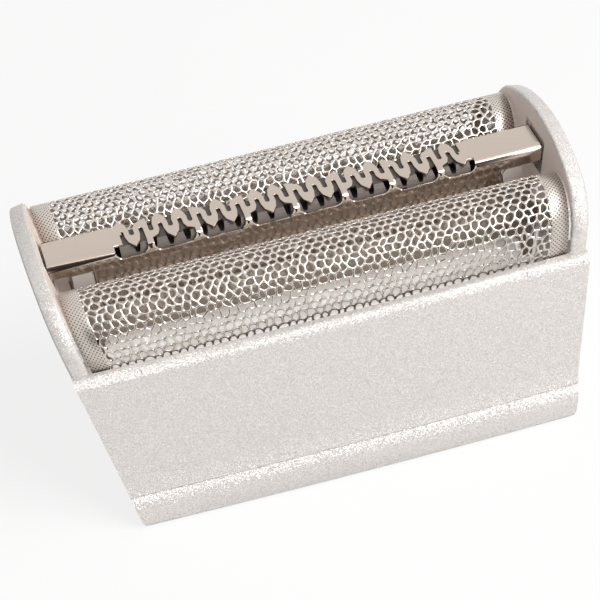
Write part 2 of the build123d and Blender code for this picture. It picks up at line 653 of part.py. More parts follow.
def trimmer_holder():
    """Bar under the blade: end blocks with side tabs, leaf pockets, a driver window and spring pegs."""
    tongue = TAB_END + HOLDER_TONGUE
    floor = box((-tongue, -HOLDER_HALF, HOLDER_BOTTOM), (tongue, HOLDER_HALF, HOLDER_TOP))
    block_top = TRIMMER_TOP - GUARD_SHEET - SNUG
    block_depth = block_top - HOLDER_TOP + SNUG
    section = fold_outline(2 * HOLDER_HALF, GUARD_BEND, GUARD_FLATS, block_top, block_depth)
    block = Pos(TAB_START, 0, 0) * extrude(Plane.YZ * section, HOLDER_TAB_LENGTH)
    tab_top = TRIMMER_TOP - GUARD_END_DEPTH - SNUG
    tab_face = Pos((TAB_START + TAB_END) / 2 + SNUG, (tab_top + HOLDER_TOP) / 2) * Rectangle(
        HOLDER_TAB_LENGTH - 2 * SNUG, tab_top - HOLDER_TOP)
    corner = tab_face.vertices().group_by(Axis.Y)[-1].sort_by(Axis.X)[0]
    tab = extrude(Plane.XZ * chamfer(corner, HOLDER_TAB_CORNER), HALF_GUARD - SNUG, both=True)
    peg = Pos(COIL_PLACE, 0, HOLDER_BOTTOM + SNUG - COIL_PEG_HEIGHT) * coil_peg()
    right = block + tab + peg
    room = DRIVER_LENGTH / 2 + BLADE_STROKE + TRIMMER_END_GAP
    side = DRIVER_WIDTH / 2 + SNUG + TRIMMER_SIDE_GAP
    window = box((-room, -side, HOLDER_BOTTOM - SNUG), (room, side, HOLDER_TOP + SNUG))
    pocket_half = LEAF_SPAN / 2 + 2 * SNUG
    pocket_side = LEAF_WIDTH / 2 + 2 * SNUG
    pocket = box((LEAF_PLACE - pocket_half, -pocket_side, HOLDER_TOP - LEAF_POCKET),
                 (LEAF_PLACE + pocket_half, pocket_side, HOLDER_TOP + SNUG))
    bar = floor + right + mirror(right, Plane.YZ) + lugs(HOLDER_HALF, holder_lug_z(), SNUG + GUARD_SHEET)
    return bar - [window, pocket, mirror(pocket, Plane.YZ)]


def float_spring(x):
    """Coil spring between a shelf of the frame and the holder, in straight pieces of square wire."""
    height = HOLDER_BOTTOM - SHELF_TOP - COIL_WIRE - 2 * SNUG
    count = COIL_TURNS * COIL_PIECES
    sections = []
    for i in range(count + 1):
        turn = 2 * pi * i / COIL_PIECES
        outward = (cos(turn), sin(turn), 0)
        spot = (COIL_RADIUS * outward[0], COIL_RADIUS * outward[1], height * i / count)
        place = Plane(spot, outward, (-outward[1], outward[0], 0))
        sections.append(place * Rectangle(COIL_WIRE, COIL_WIRE))
    return Pos(x, 0, SHELF_TOP + COIL_WIRE / 2 + SNUG) * loft(sections, ruled=True)


def build():
    """All sub-parts by node name."""
    rear_foil = foil()
    outer = clamp(HALF_INSIDE, -1)
    inner = clamp(RAIL_FACE, 1)
    return {
        "frame": frame(),
        "foil_front": mirror(rear_foil, Plane.XZ),
        "foil_rear": rear_foil,
        "clamp_front_outer": mirror(outer, Plane.XZ),
        "clamp_front_inner": mirror(inner, Plane.XZ),
        "clamp_rear_inner": inner,
        "clamp_rear_outer": outer,
        "trimmer_guard": trimmer_guard(),
        "trimmer_holder": trimmer_holder(),
        "trimmer_blade": trimmer_blade(),
        "blade_carrier": blade_carrier(),
        "blade_spring_left": blade_spring(-LEAF_PLACE),
        "blade_spring_right": blade_spring(LEAF_PLACE),
        "float_spring_left": float_spring(-COIL_PLACE),
        "float_spring_right": float_spring(COIL_PLACE),
    }


def main():
    os.makedirs("parts", exist_ok=True)
    for name, solid in build().items():
        export_step(solid, f"parts/{name}.step")


main()
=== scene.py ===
"""Shaver foil head: cells of the foils, polished comb guard, springs, finishes and a small studio."""

import math
import random

import bmesh
import bpy
from bpy.props import FloatProperty, FloatVectorProperty, IntProperty, PointerProperty
from mathutils import Matrix, Vector


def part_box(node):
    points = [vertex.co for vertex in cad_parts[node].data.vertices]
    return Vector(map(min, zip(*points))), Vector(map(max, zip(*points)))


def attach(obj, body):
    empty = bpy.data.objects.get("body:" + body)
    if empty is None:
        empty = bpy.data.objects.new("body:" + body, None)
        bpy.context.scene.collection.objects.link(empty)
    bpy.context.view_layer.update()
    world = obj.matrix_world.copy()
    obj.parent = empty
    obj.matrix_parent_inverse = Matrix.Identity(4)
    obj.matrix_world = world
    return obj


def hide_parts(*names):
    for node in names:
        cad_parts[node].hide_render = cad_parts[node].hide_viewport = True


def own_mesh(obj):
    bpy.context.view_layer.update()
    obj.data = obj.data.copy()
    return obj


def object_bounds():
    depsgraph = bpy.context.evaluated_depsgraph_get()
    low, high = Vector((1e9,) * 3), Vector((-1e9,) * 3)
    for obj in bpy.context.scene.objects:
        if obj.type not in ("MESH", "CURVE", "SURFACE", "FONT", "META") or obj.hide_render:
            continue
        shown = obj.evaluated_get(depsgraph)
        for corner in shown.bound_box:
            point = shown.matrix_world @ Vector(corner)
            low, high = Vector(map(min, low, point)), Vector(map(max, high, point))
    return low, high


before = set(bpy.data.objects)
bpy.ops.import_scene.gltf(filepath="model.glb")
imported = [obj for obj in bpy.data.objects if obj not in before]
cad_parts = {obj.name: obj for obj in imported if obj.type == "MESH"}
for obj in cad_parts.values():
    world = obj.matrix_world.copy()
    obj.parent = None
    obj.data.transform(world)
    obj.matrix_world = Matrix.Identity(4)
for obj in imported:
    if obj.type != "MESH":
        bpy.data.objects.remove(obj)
CAD_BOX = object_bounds()

bl_info = {
    "name": "Shaver foil head",
    "version": (1, 0, 0),
    "blender": (4, 5, 0),
    "location": "3D View > Sidebar > Foil head",
    "description": "Foils, comb guard, springs and finishes of a twin-foil shaver head",
    "category": "Object",
}

MM = 0.001
ALONG = Vector((1.0, 0.0, 0.0))
ACROSS = Vector((0.0, 1.0, 0.0))
UP = Vector((0.0, 0.0, 1.0))
WHITE = (1.0, 1.0, 1.0, 1.0)

# Foils: the honeycomb is doubled until it covers a sheet, and the solids' arch is in flats
SHEET_MAP = "sheet"
ARCH_FLATS = 9
ROW_DOUBLINGS = 6
FIELD_DOUBLINGS = 4
CELL_ROUNDINGS = 2
CUT_SLACK = 0.001 * MM
RIM_SLACK = 0.005 * MM

# Dots of the foils' borders, as shares of their pitch
DOT_RADIUS = 0.17
DOT_RIM = 0.30

# Flakes of the paint: how far they tilt, and their darkest and brightest shade of the silver
FLAKE_TILT = 0.7
FLAKE_SHADES = (0.92, 1.08)

# Light that scatters through thin plastic from the open bottom, as a glow of its own
BARE_GLOW = 0.3
CLAMP_GLOW = 0.25

# Edges of the frame and the guard; a chamfered corner turns by about 45 degrees, in radians here
CREASE = math.radians(50)
CHAMFER_TURN = (0.5, 1.1)
CORNER_SEGMENTS = 3
EDGE_SEGMENTS = 2
JOIN_SLACK = 0.002 * MM
SKIN_DEPTH = 0.01 * MM

CLAMPS = ("clamp_front_outer", "clamp_front_inner", "clamp_rear_inner", "clamp_rear_outer")

# Coil springs, which stand on the frame's shelves
STEPS_PER_TURN = 24
WIRE_SIDES = 10

# Camera of the photograph; its distances are in millimetres, and its focal length is in pixels
AZIMUTH = math.radians(8.655)
ELEVATION = math.radians(33.0)
ROLL = math.radians(9.36)
AIM_HEIGHT = 12.0
AIM_RIGHT = -0.754
AIM_ABOVE = -2.129
DISTANCE = 256.976
FOCAL_PIXELS = 2793.999
PHOTO_PIXELS = 600
SENSOR_WIDTH = 36.0

# Studio, in metres
FLOOR_SIZE = 3.0
FLOOR_GAP = 0.05 * MM
WALL_SIZE = 0.5
WALL_DISTANCE = 0.6
WALL_SLANT = math.radians(66)
KEY_SIZE = (0.6, 0.3)
KEY_PLACE = Vector((0.34, -0.28, 0.57))
FILL_SIZE = (0.25, 0.25)
FILL_PLACE = Vector((0.22, -0.28, 0.20))


def srgb(code):
    """Linear colour of an sRGB hex code."""
    parts = [int(code[i:i + 2], 16) / 255 for i in (1, 3, 5)]
    return tuple(c / 12.92 if c <= 0.04045 else ((c + 0.055) / 1.055) ** 2.4 for c in parts)


def length(label, text, value):
    """A length the user may change, given in millimetres."""
    return FloatProperty(
        name=label, description=text, default=value * MM, min=0.0, unit="LENGTH", precision=5)


def colour(label, text, code):
    """A colour the user may change, given as an sRGB hex code."""
    return FloatVectorProperty(
        name=label, description=text, default=srgb(code), subtype="COLOR", min=0.0, max=1.0)


class FoilSizes(bpy.types.PropertyGroup):
    """Cells, plain edges and metal of the two foils."""

    cell_pitch: length("Cell pitch", "Distance between the middles of neighbouring cells", 0.80)
    cell_stray: length("Cell stray", "How far the corners of the cells stray from an even honeycomb", 0.20)
    bar_width: length("Bar width", "Width of the bars between the cells", 0.115)
    sheet: length("Sheet", "Thickness of the foil", 0.08)
    border: length("End border", "Plain strip at both ends of a foil", 1.65)
    skirt: length("Skirt", "Plain strip along both long edges, down to the clamps", 3.7)
    dot_pitch: length("Dot pitch", "Distance between the fine dots of the end borders", 0.27)
    end_lean: FloatProperty(
        name="End lean", description="Lean of the foil's ends, as of the end walls",
        default=math.radians(12.3), subtype="ANGLE")
    seed: IntProperty(name="Seed", description="Start of the random draws for the cells", default=11, min=0)
    nickel: colour("Nickel", "Bright electroformed nickel", "#D6CDC5")
    # Partly rubbing, which makes the inner side dull, and partly painted shade, which makes it darker than
    # the nickel.
    dull_shaded_nickel: colour("Dull nickel", "Inner side of the foils, which the cutters rub", "#A89C91")
    dot: colour("Dot", "Shaded pit of a fine dot", "#3A332F")


class FrameFinish(bpy.types.PropertyGroup):
    """Paint and bare plastic of the frame, with painted light on the bare plastic."""

    flake: length("Flake", "Size of the bright flakes in the paint", 0.06)
    silver: colour("Silver", "Silver metallic paint", "#CFCAC6")
    bare: colour("Bare plastic", "Unpainted plastic inside the frame", "#988B82")
    # Painted light from the open bottom: this pale colour reaches up to the height given below.
    painted_light_pale: colour("Paled plastic", "Bare plastic near the open bottom, paled by the paint", "#F0ECE9")
    upper_wall: colour("Upper wall", "Bare plastic at the top of the end walls", "#B8ABA3")
    bay_reach: length("Bay reach", "How far the bare inside goes on past the ends of the foils", 0.4)
    bay_half_width: length("Bay half width", "Half width of the inside that the paint doesn't reach", 11.0)
    painted_light_top: length("Overspray", "Height up to which paint from below has paled the bare inside", 12.6)
    fade: length("Fade", "Height over which the bare inside changes its shade", 5.0)


class TrimmerFinish(bpy.types.PropertyGroup):
    """Guard, blade, holder, carrier and clamps."""

    polished_edge: length("Polished edge", "Rounding of the guard's ground edges", 0.045)
    window_edge: length("Window edge", "Rounding of the edges of the guard's side windows", 0.11)
    window_corner: length("Window corner", "Rounding of the lower corners of the guard's side windows", 0.26)
    guard_steel: colour("Guard steel", "Satin stainless sheet of the guard", "#C9BBAF")
    # Painted shade and painted light: the blade is darker on top and lighter on its sides by the way each
    # face points.
    blade_steel: colour("Blade steel", "Hardened sheet of the inner blade", "#463D38")
    lit_blade_side: colour("Blade side", "Ground sides of the inner blade", "#7F7570")
    grey_plastic: colour("Grey plastic", "Moulded grey of the holder", "#A69E98")
    pale_plastic: colour("Pale plastic", "Moulded pale grey of the clamps, lit from below", "#F6F4F2")
    shaded_plastic: colour("Shaded plastic", "The clamps' plastic near the foils, in less light", "#C2BBB6")
    dark_plastic: colour("Dark plastic", "Moulded dark slider below the blade", "#1E1C1B")


class SpringSizes(bpy.types.PropertyGroup):
    """Coil springs below the trimmer."""

    wire: length("Wire", "Diameter of the spring wire", 0.30)
    radius: length("Radius", "Radius of a coil to the middle of its wire", 1.0)
    place: length("Place", "Distance of a coil from the middle of the head", 18.4)
    turns: IntProperty(name="Turns", description="Number of turns of a coil spring", default=3, min=1)
    spring_steel: colour("Spring steel", "Drawn wire and strip", "#B9B3AC")


class StudioLight(bpy.types.PropertyGroup):
    """Backdrop and lamps."""

    paper: colour("Paper", "White paper of the floor", "#DCDBDA")
    dark_wall: colour("Dark wall", "Unlit end of the room that the metal mirrors", "#2E2824")
    key_power: FloatProperty(
        name="Key", description="Power of the long soft lamp overhead", default=3.2, unit="POWER")
    fill_power: FloatProperty(
        name="Fill", description="Power of the soft lamp at the front", default=1.75, unit="POWER")
    world_level: FloatProperty(name="Room", description="Light from the room itself", default=0.3, min=0.0)
    paper_glow: FloatProperty(
        name="Paper glow", description="Share of the paper's white that comes through it from below",
        default=0.82, min=0.0, max=1.0, subtype="FACTOR")


def add_node(tree, kind, inputs=(), **settings):
    """Add one node, with its settings, and fill its sockets from values or other sockets."""
    node = tree.nodes.new(kind)
    for name, value in settings.items():
        setattr(node, name, value)
    for socket, value in dict(inputs).items():
        if isinstance(value, bpy.types.NodeSocket):
            tree.links.new(value, node.inputs[socket])
        else:
            node.inputs[socket].default_value = value
    return node


def new_material(name, base, metallic, roughness):
    """A material with one Principled shader, and that shader and the tree to go on with."""
    material = bpy.data.materials.new(name)
    material.use_nodes = True
    shader = material.node_tree.nodes["Principled BSDF"]
    shader.inputs["Base Color"].default_value = (*base, 1.0)
    shader.inputs["Metallic"].default_value = metallic
    shader.inputs["Roughness"].default_value = roughness
    return material, shader, material.node_tree


def per(size):
    """Texture scale at which one step of a pattern is that long."""
    return 1.0 / size


def silver_paint(finish):
    """Pale warm silver with a wide soft shine that breaks up into a fine glitter of flakes."""
    material, shader, tree = new_material(
        "silver_metallic_paint", finish.silver, metallic=0.4, roughness=0.3)
    place = add_node(tree, "ShaderNodeTexCoord")
    flakes = add_node(
        tree, "ShaderNodeTexVoronoi", {"Vector": place.outputs["Object"], "Scale": per(finish.flake)})
    shade = add_node(tree, "ShaderNodeValToRGB", {"Fac": flakes.outputs["Color"]})
    for element, level in zip(shade.color_ramp.elements, FLAKE_SHADES):
        element.color = (*(min(c * level, 1.0) for c in finish.silver), 1.0)
    tree.links.new(shade.outputs["Color"], shader.inputs["Base Color"])
    surface = add_node(tree, "ShaderNodeNewGeometry")
    tilt = add_node(
        tree, "ShaderNodeVectorMath", {0: flakes.outputs["Color"], 1: (0.5, 0.5, 0.5)},
        operation="SUBTRACT")
    tilted = add_node(
        tree, "ShaderNodeVectorMath",
        {0: tilt.outputs["Vector"], 1: (FLAKE_TILT,) * 3, 2: surface.outputs["Normal"]},
        operation="MULTIPLY_ADD")
    flat = add_node(tree, "ShaderNodeVectorMath", {0: tilted.outputs["Vector"]}, operation="NORMALIZE")
    tree.links.new(flat.outputs["Vector"], shader.inputs["Normal"])
    return material


def bright_nickel(sizes):
    """Mirror-like pale nickel of the cell bars."""
    return new_material("bright_nickel", sizes.nickel, metallic=1.0, roughness=0.16)[0]


def rubbed_shaded_nickel(sizes):
    """Inner side of the foils, rubbed dull so that it hardly mirrors, and darker grey as painted shade
    inside the head.
    """
    return new_material("rubbed_shaded_nickel", sizes.dull_shaded_nickel, metallic=0.5, roughness=0.45)[0]


def dotted_nickel(sizes):
    """Nickel of the end borders, with a slanted grid of fine dark dots."""
    material, shader, tree = new_material("dotted_nickel", sizes.nickel, metallic=1.0, roughness=0.4)
    sheet = add_node(tree, "ShaderNodeUVMap", uv_map=SHEET_MAP)
    turned = add_node(
        tree, "ShaderNodeMapping",
        {"Vector": sheet.outputs["UV"], "Rotation": (0.0, 0.0, math.radians(45))})
    dots = add_node(
        tree, "ShaderNodeTexVoronoi",
        {"Vector": turned.outputs["Vector"], "Scale": MM / sizes.dot_pitch, "Randomness": 0.0},
        voronoi_dimensions="2D")
    shade = add_node(tree, "ShaderNodeValToRGB", {"Fac": dots.outputs["Distance"]})
    dot, plain = shade.color_ramp.elements
    dot.position, dot.color = DOT_RADIUS, (*sizes.dot, 1.0)
    plain.position, plain.color = DOT_RIM, (*sizes.nickel, 1.0)
    tree.links.new(shade.outputs["Color"], shader.inputs["Base Color"])
    dent = add_node(
        tree, "ShaderNodeBump",
        {"Height": dots.outputs["Distance"], "Strength": 0.5, "Distance": 0.03 * MM})
    tree.links.new(dent.outputs["Normal"], shader.inputs["Normal"])
    return material


def satin_steel(name, base, roughness):
    """Stainless sheet with a faint grain drawn out along its length."""
    material, shader, tree = new_material(name, base, metallic=1.0, roughness=roughness)
    place = add_node(tree, "ShaderNodeTexCoord")
    drawn = add_node(
        tree, "ShaderNodeMapping", {"Vector": place.outputs["Object"], "Scale": (0.06, 1.0, 1.0)})
    grain = add_node(
        tree, "ShaderNodeTexNoise",
        {"Vector": drawn.outputs["Vector"], "Scale": per(0.08 * MM), "Detail": 2.0})
    scratch = add_node(
        tree, "ShaderNodeBump",
        {"Height": grain.outputs["Fac"], "Strength": 0.12, "Distance": 0.01 * MM})
    tree.links.new(scratch.outputs["Normal"], shader.inputs["Normal"])
    return material


def hardened_blade(finish):
    """Hardened sheet with painted shade on top, where it runs under the guard, and painted light on its
    sides, by the way each face points.
    """
    material, shader, tree = new_material(
        "hardened_blade_steel", finish.blade_steel, metallic=0.4, roughness=0.45)
    surface = add_node(tree, "ShaderNodeNewGeometry")
    parts = add_node(tree, "ShaderNodeSeparateXYZ", {"Vector": surface.outputs["True Normal"]})
    level = add_node(tree, "ShaderNodeMath", {0: parts.outputs["Z"]}, operation="ABSOLUTE")
    shade = add_node(tree, "ShaderNodeValToRGB", {"Fac": level.outputs["Value"]})
    # Sideways faces take the painted light, upward faces the painted shade.
    side, top = shade.color_ramp.elements
    side.color = (*finish.lit_blade_side, 1.0)
    top.color = (*finish.blade_steel, 1.0)
    tree.links.new(shade.outputs["Color"], shader.inputs["Base Color"])
    return material


def moulded_plastic(name, base):
    """Plain moulded plastic with a dull, slightly grained face."""
    material, shader, tree = new_material(name, base, metallic=0.0, roughness=0.5)
    place = add_node(tree, "ShaderNodeTexCoord")
    grain = add_node(
        tree, "ShaderNodeTexNoise", {"Vector": place.outputs["Object"], "Scale": per(0.15 * MM)})
    skin = add_node(
        tree, "ShaderNodeBump", {"Height": grain.outputs["Fac"], "Strength": 0.1, "Distance": 0.02 * MM})
    tree.links.new(skin.outputs["Normal"], shader.inputs["Normal"])
    return material


def shone_through(name, base, glow, bottom, top):
    """Thin plastic lit through from below, and the ramp of its shades between two heights."""
    material, shader, tree = new_material(name, base, metallic=0.0, roughness=0.5)
    place = add_node(tree, "ShaderNodeTexCoord")
    parts = add_node(tree, "ShaderNodeSeparateXYZ", {"Vector": place.outputs["Object"]})
    height = add_node(
        tree, "ShaderNodeMapRange", {"Value": parts.outputs["Z"], "From Min": bottom, "From Max": top})
    shade = add_node(tree, "ShaderNodeValToRGB", {"Fac": height.outputs["Result"]})
    tree.links.new(shade.outputs["Color"], shader.inputs["Base Color"])
    tree.links.new(shade.outputs["Color"], shader.inputs["Emission Color"])
    shader.inputs["Emission Strength"].default_value = glow
    return material, shade.color_ramp


def clamp_plastic(finish):
    """Pale moulded plastic that light from the open bottom shines through, less so towards the foils."""
    low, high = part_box("clamp_front_inner")
    material, ramp = shone_through("pale_moulded_plastic", finish.pale_plastic, CLAMP_GLOW, low.z, high.z)
    pale, shaded = ramp.elements
    pale.position, pale.color = 0.25, (*finish.pale_plastic, 1.0)
    shaded.color = (*finish.shaded_plastic, 1.0)
    return material


def bare_plastic(finish):
    """Plastic that the paint has left bare inside the frame, with painted light from the open bottom: it
    glows and is paler near the bottom, and it is lighter towards the top of the end walls.
    """
    material, ramp = shone_through(
        "bare_frame_plastic", finish.bare, BARE_GLOW, finish.painted_light_top, finish.painted_light_top + finish.fade)
    # Painted light: pale at the bottom, the bare colour in the middle, lighter at the top.
    painted_light_pale, wall = ramp.elements
    painted_light_pale.color = (*finish.painted_light_pale, 1.0)
    wall.color = (*finish.upper_wall, 1.0)
    for position in (0.2, 0.6):
        ramp.elements.new(position).color = (*finish.bare, 1.0)
    return material


def add_piece(name, bm, body, materials, replaced):
    """Turn a bmesh into a piece that rides a body in place of some solids."""
    mesh = bpy.data.meshes.new(name)
    bm.to_mesh(mesh)
    bm.free()
    piece = bpy.data.objects.new(name, mesh)
    bpy.context.scene.collection.objects.link(piece)
    for material in materials:
        mesh.materials.append(material)
    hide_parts(*replaced)
    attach(piece, body)
    return piece


def everything(bm):
    """All geometry of a bmesh, in one list."""
    return bm.verts[:] + bm.edges[:] + bm.faces[:]


def corners_of(geometry):
    """The vertices among what an operator gave back."""
    return [g for g in geometry if isinstance(g, bmesh.types.BMVert)]


def double_up(bm, times, step):
    """Copy the whole bmesh beside itself again and again, twice as many each time."""
    for i in range(times):
        copied = bmesh.ops.duplicate(bm, geom=everything(bm))
        bmesh.ops.translate(bm, verts=corners_of(copied["geom"]), vec=step * 2 ** i)


def uneven_cells(bm, sizes, draw):
    """Fill a flat field round the origin with a honeycomb whose corners stray and run together."""
    side = sizes.cell_pitch / math.sqrt(3)
    row = 1.5 * side
    bmesh.ops.create_circle(bm, cap_ends=True, segments=6, radius=side)
    double_up(bm, ROW_DOUBLINGS, ALONG * sizes.cell_pitch)
    double_up(bm, 1, ALONG * sizes.cell_pitch / 2 + ACROSS * row)
    double_up(bm, FIELD_DOUBLINGS, ACROSS * row * 2)
    half_row = (2 ** ROW_DOUBLINGS - 0.5) * sizes.cell_pitch / 2
    half_field = (2 ** (FIELD_DOUBLINGS + 1) - 1) * row / 2
    bmesh.ops.translate(bm, verts=bm.verts[:], vec=-ALONG * half_row - ACROSS * half_field)
    same_corner = side / 10
    bmesh.ops.remove_doubles(bm, verts=bm.verts[:], dist=same_corner)
    for corner in bm.verts:
        turn = draw.uniform(0, math.tau)
        reach = sizes.cell_stray * math.sqrt(draw.random())
        corner.co += ALONG * reach * math.cos(turn) + ACROSS * reach * math.sin(turn)
    short_bar = side * 0.45
    bmesh.ops.remove_doubles(bm, verts=bm.verts[:], dist=short_bar)


def trim_field(bm, half_length, half_width):
    """Cut the field of cells to the oblong that is perforated."""
    cuts = ((ALONG, half_length), (-ALONG, half_length), (ACROSS, half_width), (-ACROSS, half_width))
    for way, reach in cuts:
        bmesh.ops.bisect_plane(
            bm, geom=everything(bm), dist=CUT_SLACK, plane_co=way * reach, plane_no=way, clear_outer=True)
    bmesh.ops.reverse_faces(bm, faces=[f for f in bm.faces if f.normal.z < 0])


def open_cells(bm, sizes, half_length, half_width):
    """Leave a bar round each cell, open the rest and round the openings off."""

    def within(corner):
        return abs(corner.co.x) < half_length - RIM_SLACK and abs(corner.co.y) < half_width - RIM_SLACK

    cells = [f for f in bm.faces if 2 * f.calc_area() / f.calc_perimeter() > sizes.bar_width]
    bmesh.ops.inset_individual(bm, faces=cells, thickness=sizes.bar_width / 2, use_even_offset=True)
    bmesh.ops.delete(bm, geom=cells, context="FACES_ONLY")
    rims = [e for e in bm.edges if e.is_boundary and any(within(v) for v in e.verts)]
    bmesh.ops.subdivide_edges(bm, edges=rims, cuts=1)
    for _ in range(CELL_ROUNDINGS):
        moved = {}
        for corner in bm.verts:
            if corner.is_boundary and within(corner):
                beside = [e.other_vert(corner).co for e in corner.link_edges if e.is_boundary]
                moved[corner] = corner.co / 2 + sum(beside, Vector()) / (2 * len(beside))
        for corner, place in moved.items():
            corner.co = place


def plain_strip(bm, way, reach, width):
    """Carry the sheet on past the cells with a plain strip."""
    rim = [e for e in bm.edges if e.is_boundary and all(v.co.dot(way) > reach - RIM_SLACK for v in e.verts)]
    strip = bmesh.ops.extrude_edge_only(bm, edges=rim)
    bmesh.ops.translate(bm, verts=corners_of(strip["geom"]), vec=way * width)


def keep_sheet_map(bm):
    """Keep the flat sheet's millimetres as the map that the dots of the border follow."""
    sheet = bm.loops.layers.uv.new(SHEET_MAP)
    for face in bm.faces:
        for loop in face.loops:
            loop[sheet].uv = loop.vert.co.xy / MM


def wrap_sheet(bm, sizes, half_length, arch):
    """Bend the flat sheet over the arch and down both sides, with its ends along the end walls."""
    quarter = math.pi / 2 * arch["radius"]
    for corner in bm.verts:
        past = max(abs(corner.co.y) - quarter, 0.0)
        turn = math.copysign(min(abs(corner.co.y), quarter), corner.co.y) / arch["radius"]
        height = arch["centre_z"] + arch["radius"] * math.cos(turn) - past
        end = arch["end_x"] + (height - arch["end_z"]) * math.tan(sizes.end_lean)
        corner.co = (
            corner.co.x / half_length * end, arch["centre_y"] + arch["radius"] * math.sin(turn), height)


def foil_arch(node):
    """Where the solid of a foil has its arch and its ends; its crown is the middle of a flat."""
    low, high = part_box(node)
    radius = (high.y - low.y) / 2
    crown = radius * math.cos(math.pi / (2 * ARCH_FLATS))
    return {
        "radius": radius, "centre_y": (low.y + high.y) / 2, "centre_z": high.z - crown,
        "end_x": high.x, "end_z": high.z, "bottom": low.z}


def foil_sheet(sizes, arch, draw):
    """One foil as a bmesh: cells over the arch, plain dotted ends and plain long edges."""
    half_length = arch["end_x"]
    half_cells = half_length - sizes.border
    quarter = math.pi / 2 * arch["radius"]
    half_open = quarter + arch["centre_z"] - arch["bottom"] - sizes.skirt
    bm = bmesh.new()
    uneven_cells(bm, sizes, draw)
    trim_field(bm, half_cells, half_open)
    open_cells(bm, sizes, half_cells, half_open)
    for way in (ALONG, -ALONG):
        plain_strip(bm, way, half_cells, sizes.border)
    for way in (ACROSS, -ACROSS):
        plain_strip(bm, way, half_open, sizes.skirt)
    for face in bm.faces:
        face.smooth = True
        face.material_index = int(abs(face.calc_center_median().x) > half_cells)
    keep_sheet_map(bm)
    wrap_sheet(bm, sizes, half_length, arch)
    bmesh.ops.recalc_face_normals(bm, faces=bm.faces[:])
    crown = max(bm.faces, key=lambda f: f.calc_center_median().z)
    if crown.normal.z < 0:
        bmesh.ops.reverse_faces(bm, faces=bm.faces[:])
    return bm


def mark_creases(bm):
    """Shade smoothly but for the edges beyond the crease angle."""
    for edge in bm.edges:
        edge.smooth = edge.calc_face_angle(0.0) < CREASE


def merged_copy(node):
    """A copy of a solid's mesh with its corners joined, smooth but for its creases."""
    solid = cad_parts[node]
    bm = bmesh.new()
    bm.from_mesh(solid.data)
    bm.transform(solid.matrix_world)
    bmesh.ops.remove_doubles(bm, verts=bm.verts[:], dist=JOIN_SLACK)
    bmesh.ops.recalc_face_normals(bm, faces=bm.faces[:])
    for face in bm.faces:
        face.smooth = True
        face.material_index = 0
    mark_creases(bm)
    return bm


def round_window_corners(bm, width):
    """Round the chamfered corners of the windows, whose edges run across the sheet's walls."""
    least, most = CHAMFER_TURN
    corners = []
    for edge in bm.edges:
        run = (edge.verts[1].co - edge.verts[0].co).normalized()
        across = abs(run.y) > 0.99
        if across and not edge.is_convex and least < edge.calc_face_angle(0.0) < most:
            corners.append(edge)
    bmesh.ops.bevel(
        bm, geom=corners, offset=width, offset_type="OFFSET", affect="EDGES", segments=CORNER_SEGMENTS,
        profile=0.5, material=-1, clamp_overlap=True)
    mark_creases(bm)


def polish_edges(bm, width, clamp, on_skin):
    """Round the sharp edges that lie on the outer skin of a sheet."""
    sharp = [e for e in bm.edges if not e.smooth and all(on_skin(v.co) for v in e.verts)]
    bmesh.ops.bevel(
        bm, geom=sharp, offset=width, offset_type="OFFSET", affect="EDGES", segments=EDGE_SEGMENTS,
        profile=0.5, material=-1, clamp_overlap=clamp)
    for face in bm.faces:
        face.smooth = True


def even_shading(piece):
    """Let the large faces of a piece carry their shading up to the rounded edges."""
    shade = piece.modifiers.new("even_shading", "WEIGHTED_NORMAL")
    shade.keep_sharp = True


class FOILHEAD_OT_frame(bpy.types.Operator):
    """Give the frame even shading, its silver paint and the bare plastic inside"""

    bl_idname = "foil_head.frame"
    bl_label = "Painted frame"

    def execute(self, context):
        finish = context.scene.foil_head_frame
        bm = merged_copy("frame")
        arch = foil_arch("foil_front")
        lean = math.tan(context.scene.foil_head_foils.end_lean)
        for face in bm.faces:
            face.material_index = int(all(
                abs(v.co.x) < arch["end_x"] + (v.co.z - arch["end_z"]) * lean + finish.bay_reach
                and abs(v.co.y) < finish.bay_half_width for v in face.verts))
        skins = [silver_paint(finish), bare_plastic(finish)]
        shell = add_piece("painted_frame", bm, "frame", skins, ["frame"])
        even_shading(shell)
        return {"FINISHED"}


class FOILHEAD_OT_foils(bpy.types.Operator):
    """Make both foils with their uneven cells"""

    bl_idname = "foil_head.foils"
    bl_label = "Perforated foils"

    def execute(self, context):
        sizes = context.scene.foil_head_foils
        draw = random.Random(sizes.seed)
        outer = [bright_nickel(sizes), dotted_nickel(sizes)]
        metals = outer + [rubbed_shaded_nickel(sizes)] * len(outer)
        for node in ("foil_front", "foil_rear"):
            bm = foil_sheet(sizes, foil_arch(node), draw)
            name = node.replace("foil", "perforated_foil")
            foil = add_piece(name, bm, "frame", metals, [node])
            sheet = foil.modifiers.new("sheet", "SOLIDIFY")
            sheet.thickness = sizes.sheet
            sheet.offset = -1.0
            sheet.material_offset = len(outer)
        return {"FINISHED"}


class FOILHEAD_OT_trimmer(bpy.types.Operator):
    """Make the comb guard, and give the blade, holder, carrier and clamps their finishes"""

    bl_idname = "foil_head.trimmer"
    bl_label = "Comb guard and blade"

    def execute(self, context):
        finish = context.scene.foil_head_trimmer
        steel = satin_steel("satin_guard_steel", finish.guard_steel, roughness=0.17)
        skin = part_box("trimmer_guard")[1] - Vector((SKIN_DEPTH,) * 3)
        bm = merged_copy("trimmer_guard")
        round_window_corners(bm, finish.window_corner)
        polish_edges(bm, finish.polished_edge, True, lambda at: at.z > skin.z)
        polish_edges(bm, finish.window_edge, False, lambda at: abs(at.y) > skin.y)
        guard = add_piece("comb_guard", bm, "trimmer", [steel], ["trimmer_guard"])
        even_shading(guard)
        finishes = {
            "trimmer_blade": hardened_blade(finish),
            "trimmer_holder": moulded_plastic("grey_moulded_plastic", finish.grey_plastic),
            "blade_carrier": moulded_plastic("dark_moulded_plastic", finish.dark_plastic),
            **dict.fromkeys(CLAMPS, clamp_plastic(finish)),
        }
        for node, material in finishes.items():
            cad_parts[node].data.materials[0] = material
        return {"FINISHED"}


